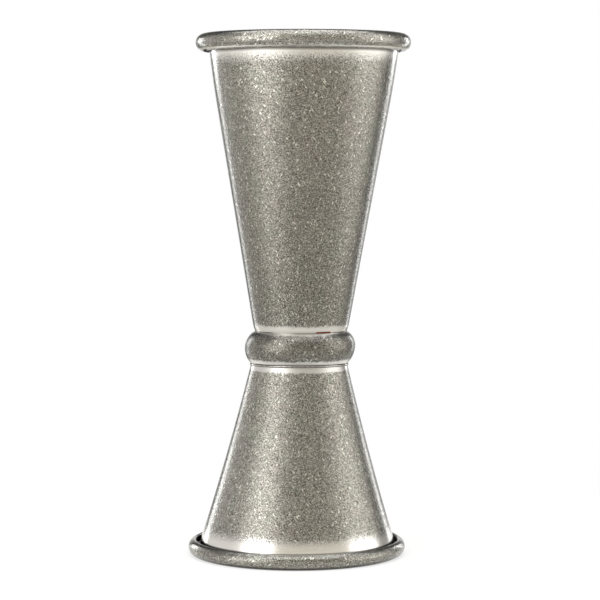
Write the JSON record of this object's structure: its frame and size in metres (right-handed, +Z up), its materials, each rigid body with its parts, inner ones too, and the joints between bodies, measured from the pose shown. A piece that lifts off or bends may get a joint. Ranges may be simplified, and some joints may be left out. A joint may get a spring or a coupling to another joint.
{
  "type": "double-ended drinks measure",
  "caption": "Double-ended conical drinks measure with rolled rims and a rounded band at the waist, in antiqued steel.",
  "frame": {"origin": "centre of the ring that the measure stands on, at the small cup's rim", "axes": "+Z up along the measure's axis, towards the large cup's mouth; X and Y are alike"},
  "size_m": [0.046, 0.046, 0.1102],
  "materials": {
    "cup_steel": "tumbled, antiqued pewter-grey with fine speckle, polished close to the rims and the band",
    "band_steel": "tumbled, antiqued pewter-grey with fine speckle",
    "braze": "pale silver braze, satin",
    "copper_braze": "dull copper-coloured braze, darkened"
  },
  "bodies": {
    "root": {"upper_cup": "cup_steel", "lower_cup": "cup_steel", "waist_band": "band_steel", "foot_braze": "braze", "upper_band_braze": "copper_braze", "lower_band_braze": "braze"}
  },
  "joints": []
}
